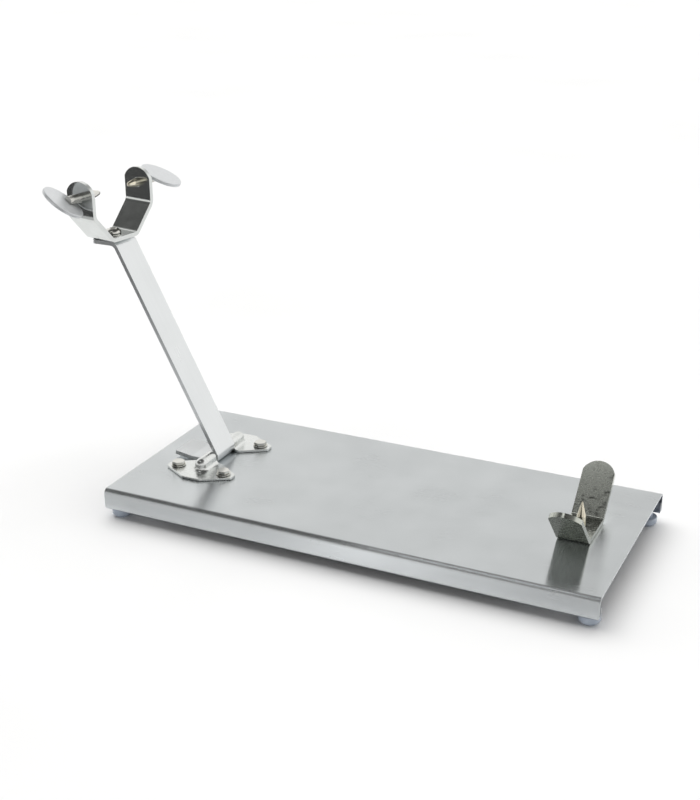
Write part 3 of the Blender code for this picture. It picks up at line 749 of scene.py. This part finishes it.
def make_cradle(material):
    low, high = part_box("cradle")
    seat = low.z + CRADLE_THICKNESS / 2
    tip = (CRADLE_FLAT_HALF + CRADLE_ARM * cos(CRADLE_ANGLE), seat + CRADLE_ARM * sin(CRADLE_ANGLE))
    side = [(CRADLE_FLAT_HALF, seat), tip]
    path = [(-y, z) for y, z in reversed(side)] + side
    line = rounded(path, [0, 0.005, 0.005, 0], steps=10)
    width, places = round_end(0.0145, CRADLE_WIDTH / 2)
    line = with_stations(line, places)
    place = Matrix.Translation(((low.x + high.x) / 2, 0, 0)) @ ALONG_X
    cradle = bent_strip("cradle_strip", line, CRADLE_THICKNESS, lambda p, s, e: width(min(s, e)), place)
    pierce(cradle, BOLT_HOLE, 0.006, [upright("cradle_spike", low.z)])
    finish_piece(cradle, "base", material, "cradle", easing=0.0006)


# ---------------------------------------------------------------- pieces: turned and hexagonal

def hex_solid(name, flats, low, high, chamfer_low, chamfer_high, matrix):
    """A hexagonal prism with turned chamfers, as a real bolt head or nut has."""
    sides = 72
    reach = flats / 2
    crown = reach * 0.97
    rings = []
    for way, height, chamfer in ((-1, low, chamfer_low), (1, high, chamfer_high)):
        outer, inner = [], []
        for side in range(sides):
            angle = 2 * pi * side / sides
            away = (angle + pi / 6) % (pi / 3) - pi / 6
            radius = reach / cos(away)
            drop = max(0.0, radius - crown) * tan(radians(30)) if chamfer else 0.0
            outer.append((radius * cos(angle), radius * sin(angle), height - way * drop))
            flat = crown if chamfer else radius * 0.995
            inner.append((flat * cos(angle), flat * sin(angle), height))
        rings += [inner, outer] if way < 0 else [outer, inner]
    verts = [point for ring in rings for point in ring]
    faces = []
    for ring in range(3):
        for side in range(sides):
            after = (side + 1) % sides
            a, b = ring * sides + side, ring * sides + after
            faces.append((a, b, b + sides, a + sides))
    faces.append(tuple(range(sides - 1, -1, -1)))
    faces.append(tuple(range(3 * sides, 4 * sides)))
    return transform(new_object(name, verts, faces), matrix)


def joined(first, *others):
    """One object from several pieces of the same part."""
    shape = bmesh.new()
    for item in (first, *others):
        shape.from_mesh(item.data)
    shape.to_mesh(first.data)
    shape.free()
    for item in others:
        bpy.data.objects.remove(item)
    return first


def thread_profile(radius, depth, pitch, share, low, high, sides, name):
    """A rod with a helical groove between two heights."""
    per_turn = 10
    rows = max(2, ceil((high - low) / pitch * per_turn))
    verts, faces = [], []
    for row in range(rows + 1):
        height = low + (high - low) * row / rows
        fade = min(1.0, (height - low) / pitch, (high - height) / pitch)
        for side in range(sides):
            phase = (height / pitch - side / sides) % 1.0
            dip = max(0.0, 1 - abs(phase - 0.5) / (share / 2))
            r = radius - depth * min(1.0, dip * 1.4) * fade
            angle = 2 * pi * side / sides
            verts.append((r * cos(angle), r * sin(angle), height))
    for row in range(rows):
        for side in range(sides):
            after = (side + 1) % sides
            a, b = row * sides + side, row * sides + after
            faces.append((a, b, b + sides, a + sides))
    faces.append(tuple(range(sides - 1, -1, -1)))
    faces.append(tuple(range(rows * sides, (rows + 1) * sides)))
    return new_object(name, verts, faces)


def make_bolts(steel):
    for spot in BOLT_TURNS:
        low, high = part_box(f"hinge_bolt_{spot}")
        centre = Matrix.Translation(((low.x + high.x) / 2, (low.y + high.y) / 2, 0))
        turn = Matrix.Rotation(radians(BOLT_TURNS[spot]), 4, "Z")
        seat = high.z - BOLT_HEAD
        head = hex_solid(f"bolt_{spot}", BOLT_FLATS, seat, high.z, False, True, centre @ turn)
        shank = thread_profile(BOLT_RADIUS, 0.0003, 0.001, 0.6, low.z, seat + 0.0005, 32, "shank")
        transform(shank, centre)
        finish_piece(joined(head, shank), "base", steel, f"hinge_bolt_{spot}")
        for kind in ("washer", "under_washer"):
            node = f"hinge_{kind}_{spot}"
            under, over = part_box(node)
            bore, rim, ease = BOLT_HOLE, WASHER_RADIUS, 0.0002
            profile = [(bore, under.z), (rim - ease, under.z), (rim, under.z + ease)]
            profile += [(rim, over.z - ease), (rim - ease, over.z), (bore, over.z), (bore, under.z)]
            ring = transform(lathe(f"{kind}_{spot}", profile, 48), centre)
            finish_piece(ring, "base", steel, node)
        under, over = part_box(f"hinge_nut_{spot}")
        nut = hex_solid(f"nut_{spot}", BOLT_FLATS, under.z, over.z, True, True, centre @ turn)
        finish_piece(nut, "base", steel, f"hinge_nut_{spot}")


SPIKE_RADIUS = 0.0038
SPIKE_HEIGHT = 0.022
SPIKE_POINT = 0.0125


def make_spike(steel, warm):
    low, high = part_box("cradle_spike")
    centre = Matrix.Translation(((low.x + high.x) / 2, 0, 0))
    shoulder = high.z - SPIKE_POINT
    seat = high.z - SPIKE_HEIGHT
    path = [(0, low.z), (BOLT_RADIUS, low.z), (BOLT_RADIUS, seat), (SPIKE_RADIUS, seat)]
    path += [(SPIKE_RADIUS, shoulder), (0.0005, high.z - 0.0003)]
    line = rounded(path + [(0, high.z)], [0, 0.0004, 0, 0.0003, 0.004, 0.0002, 0], steps=6)
    spike = transform(lathe("spike", line, 64), centre)
    finish_piece(spike, "base", warm, "cradle_spike")
    under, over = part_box("cradle_washer")
    bore, rim = BOLT_HOLE, WASHER_RADIUS
    ring = [(bore, under.z), (rim, under.z), (rim, over.z), (bore, over.z), (bore, under.z)]
    washer = transform(lathe("spike_washer", ring, 48), centre)
    finish_piece(washer, "base", steel, "cradle_washer", easing=0.0002)
    under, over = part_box("cradle_nut")
    nut = hex_solid("spike_nut", BOLT_FLATS, under.z, over.z, True, True, centre)
    finish_piece(nut, "base", steel, "cradle_nut")


def make_pivot_rod(steel):
    low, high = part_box("pivot_rod")
    reach = high.y
    radius = (high.z - low.z) / 2
    path = [(0, -reach), (radius, -reach), (radius, reach), (0, reach)]
    rod = lathe("hinge_pin", rounded(path, [0, 0.0006, 0.0006, 0]), 48)
    transform(rod, Matrix.Translation((PIVOT_X, 0, PIVOT_Z)) @ Matrix.Rotation(pi / 2, 4, "X"))
    finish_piece(rod, "arm", steel, "pivot_rod")


ROD_RADIUS = 0.004
POINT_LENGTH = 0.012
POINT_SHOULDER = 0.002
POINT_NOSE = 0.0021
GRIP_RADIUS = 0.0195
GRIP_THICKNESS = 0.003
GRIP_FROM_TIP = 0.044
ROD_REACH = 0.038
PITCH = 0.00125
SCREWS = {
    "front": {"side": -1, "tip_out": 0.0135, "slant": radians(21), "roll": radians(32)},
    "back": {"side": 1, "tip_out": 0.022, "slant": radians(12), "roll": radians(-22)},
}


def make_clamp_screw(word, setting, tip_steel, steel, bright):
    turn = Matrix.Rotation(setting["side"] * pi / 2, 4, "X")
    axis = HEAD @ Matrix.Translation((0, 0, SCREW_HEIGHT)) @ turn
    tip = -setting["tip_out"]
    shoulder = tip - POINT_LENGTH
    joint = shoulder - POINT_SHOULDER
    angles = [radians(90 - 75 * step / 8) for step in range(9)]
    nose = [(POINT_NOSE * cos(a), tip - POINT_NOSE + POINT_NOSE * sin(a)) for a in angles]
    nose[0] = (0, tip)
    start = nose[-1]
    for step in range(1, 12):
        share = step / 12
        swell = (ROD_RADIUS - start[0]) * (1 - (1 - share) ** 1.6)
        nose.append((start[0] + swell, start[1] + (shoulder - start[1]) * share))
    line = [*nose, (ROD_RADIUS, shoulder - 0.0004)]
    line += [(ROD_RADIUS, joint + 0.0002), (ROD_RADIUS - 0.0002, joint), (0, joint)]
    point = transform(lathe(f"{word}_point", line, 56), axis)
    finish_piece(point, f"{word}_point", tip_steel, f"{word}_clamp_point")

    end = tip - ROD_REACH
    rod = thread_profile(ROD_RADIUS, 0.00012, PITCH, 0.34, end, joint - GAP, 40, f"{word}_rod")
    spin = Matrix.Rotation(setting["roll"], 4, "Z")
    lean = Matrix.Rotation(pi / 2 - setting["slant"], 4, "X")
    facing = Matrix.Translation((0, 0, tip - GRIP_FROM_TIP)) @ spin @ lean
    shape = bmesh.new()
    shape.from_mesh(rod.data)
    normal = facing.to_3x3() @ Vector((0, 0, 1))
    cut_at = facing @ Vector((0, 0, GRIP_THICKNESS / 2 + GAP))
    flip = 1 if normal.z > 0 else -1
    cut = bmesh.ops.bisect_plane(
        shape, geom=[*shape.verts, *shape.edges, *shape.faces], plane_co=cut_at, plane_no=normal * -flip,
        clear_outer=True, dist=1e-7,
    )
    edges = [part for part in cut["geom_cut"] if isinstance(part, bmesh.types.BMEdge)]
    bmesh.ops.holes_fill(shape, edges=edges, sides=0)
    shape.to_mesh(rod.data)
    shape.free()
    transform(rod, axis)
    finish_piece(rod, f"{word}_screw", steel, f"{word}_clamp_rod")

    half = GRIP_THICKNESS / 2
    rim = 0.0008
    path = [(0, -half), (GRIP_RADIUS, -half), (GRIP_RADIUS, half), (0, half)]
    grip = lathe(f"{word}_grip", rounded(path, [0, rim, rim, 0], steps=6), 96)
    transform(grip, axis @ facing)
    finish_piece(grip, f"{word}_screw", bright, f"{word}_clamp_grip")


FOOT_BRIM = 0.0077
FOOT_NECK = 0.005
FOOT_BORE = 0.0028
FOOT_FLOOR = 0.004
STUD_RADIUS = 0.0025


def make_feet(material, steel):
    for spot in ("front_left", "front_right", "back_left", "back_right"):
        low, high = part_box(f"foot_{spot}")
        x, y = (low.x + high.x) / 2, (low.y + high.y) / 2
        radius = (high.x - low.x) / 2
        path = [(0, 0), (radius - 0.0024, 0), (radius, 0.0026), (radius, FOOT_BRIM)]
        path += [(FOOT_NECK, FOOT_BRIM), (FOOT_NECK, high.z)]
        path += [(FOOT_BORE, high.z), (FOOT_BORE, FOOT_FLOOR), (0, FOOT_FLOOR)]
        line = rounded(path, [0, 0.0018, 0.0015, 0.0008, 0.0004, 0, 0, 0, 0], steps=7)
        foot = transform(lathe(f"bumper_{spot}", line, 56), Matrix.Translation((x, y, 0)))
        finish_piece(foot, "base", material, f"foot_{spot}")
        under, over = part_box(f"stud_{spot}")
        stud = thread_profile(STUD_RADIUS, 0.0002, 0.0008, 0.6, under.z, over.z, 24, f"foot_stud_{spot}")
        transform(stud, Matrix.Translation((x, y, 0)))
        finish_piece(stud, "base", steel, f"stud_{spot}")


# ---------------------------------------------------------------- build

make_camera()
make_floor()
make_world()
make_lights()
make_card("dark_floor", -3.0, 2.5, -3.5, -0.36, 0.004, [(0.5, 0.07)])
make_card("front_paper", -1.0, 1.0, -0.36, -0.115, 0.002, FRONT_PAPER)
make_card("ceiling_lamp", -0.75, -0.15, -1.0, -0.4, 2.0, [(0.5, 1.4)])

sheet_steel = brushed_steel("sheet_steel", (0.76, 0.79, 0.805), 0.26, 1.0, 2600, 0.012)
# A darker copy of the sheet steel: painted shade for the underside and the inner faces of the flanges.
painted_shade_steel = brushed_steel("painted_shade_steel", (0.34, 0.36, 0.40), 0.36, 0.6, 1800, 0.03)
bar_steel = brushed_steel("bar_steel", (0.76, 0.78, 0.79), 0.30, 0.8, 2200, 0.03)
yoke_steel = polished_steel("yoke_steel", (0.66, 0.68, 0.67), 0.14, 0.00002, 220)
cradle_steel = polished_steel("cradle_steel", (0.52, 0.54, 0.49), 0.20, 0.00002, 300, 0.08, 240.0)
clip_steel = polished_steel("clip_steel", (0.73, 0.745, 0.735), 0.26, 0.00002, 260)
grip_steel = polished_steel("grip_steel", (0.62, 0.635, 0.65), 0.34, 0.00004, 900, 0.03, 400.0, 0.5)
screw_steel = polished_steel("screw_steel", (0.66, 0.655, 0.62), 0.13, 0.00001, 700)
warm_steel = polished_steel("warm_steel", (0.74, 0.69, 0.56), 0.14, 0.00002, 500)
foot_rubber = rubber("foot_rubber_grey")

make_base(sheet_steel, painted_shade_steel)
make_arm(bar_steel)
make_yoke(yoke_steel)
make_cradle(cradle_steel)
make_clip("front", -1, clip_steel)
make_clip("back", 1, clip_steel)
head_bolt = copy_of("head_bolt", "swivel_bolt")
finish_piece(head_bolt, "arm", screw_steel, "head_bolt", easing=0.0003, angle=40)
make_bolts(screw_steel)
make_spike(screw_steel, warm_steel)
make_pivot_rod(screw_steel)
make_clamp_screw("front", SCREWS["front"], screw_steel, screw_steel, grip_steel)
make_clamp_screw("back", SCREWS["back"], warm_steel, screw_steel, grip_steel)
make_feet(foot_rubber, screw_steel)
